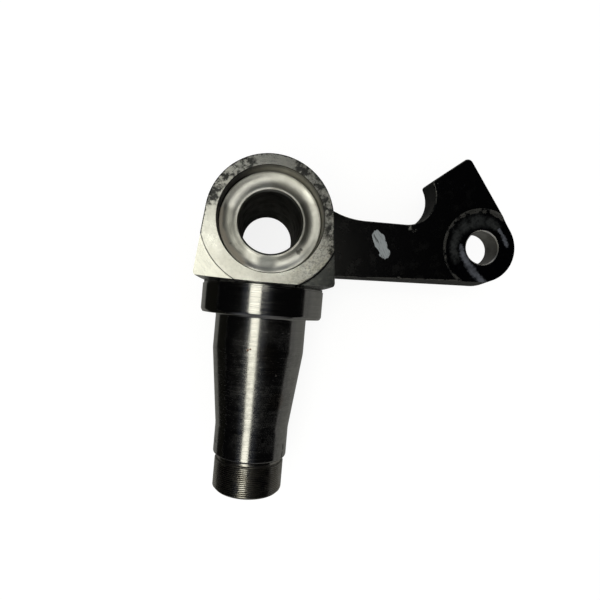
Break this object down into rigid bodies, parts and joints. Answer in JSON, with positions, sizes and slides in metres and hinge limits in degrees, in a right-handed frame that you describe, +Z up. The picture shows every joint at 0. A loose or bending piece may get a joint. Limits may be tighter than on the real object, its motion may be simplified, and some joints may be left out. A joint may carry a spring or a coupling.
{
  "type": "steering knuckle",
  "caption": "Forged steering knuckle: kingpin boss with a thrust seat, stepped wheel spindle with a threaded end, and a flat steering arm with a link-pin eye and a round notch.",
  "frame": {"origin": "where the kingpin axis crosses the wheel spindle axis, half way up the kingpin boss", "axes": "+Z up the kingpin bore and out of the thrust seat, -Y along the wheel spindle to its threaded end, +X towards the steering arm"},
  "size_m": [0.1733, 0.1918, 0.078],
  "materials": {
    "forged_steel": "turned and ground bare steel on boss ends and spindle, satin black paint on the arm and boss sides"
  },
  "bodies": {
    "root": {"steering_knuckle": "forged_steel"}
  },
  "joints": []
}
